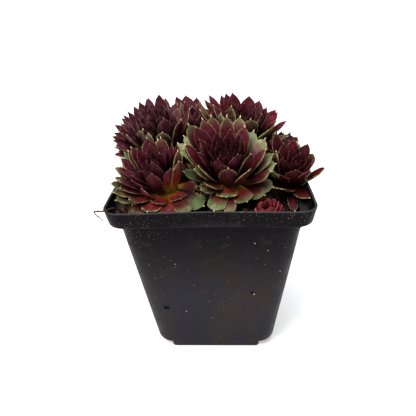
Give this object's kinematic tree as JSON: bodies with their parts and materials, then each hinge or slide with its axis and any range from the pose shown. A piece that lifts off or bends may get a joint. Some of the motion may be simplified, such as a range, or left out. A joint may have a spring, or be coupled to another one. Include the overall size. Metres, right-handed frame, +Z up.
{
  "type": "potted houseleek",
  "caption": "Clump of wine-red succulent rosettes with pointed fleshy leaves, growing in soil in a square tapered black nursery pot with a collar round its rim.",
  "frame": {"origin": "centre of the pot's flat foot, on the surface that it stands on", "axes": "+Z up, the front of the pot faces -Y, +X to the right seen from the front"},
  "size_m": [0.1019, 0.1046, 0.122],
  "materials": {
    "black_plastic": "thin black moulded plastic, satin, with a little dust and soil on it",
    "potting_soil": "dark crumbly potting soil with dry fibres",
    "wine_leaf": "fleshy wine-red leaves, waxy, with pale green margins and light tips",
    "bud_leaf": "young crimson leaves, waxy",
    "dry_fibre": "dry brown root, rough"
  },
  "bodies": {
    "root": {"pot": "black_plastic", "soil": "potting_soil", "rosette_front": "wine_leaf", "rosette_left": "wine_leaf", "rosette_right": "wine_leaf", "rosette_back_left": "wine_leaf", "rosette_back_right": "wine_leaf", "rosette_back": "wine_leaf", "rosette_middle": "wine_leaf", "rosette_side": "wine_leaf", "offset_left": "wine_leaf", "offset_right": "wine_leaf", "offset_bud": "bud_leaf", "dry_root": "dry_fibre"}
  },
  "joints": []
}
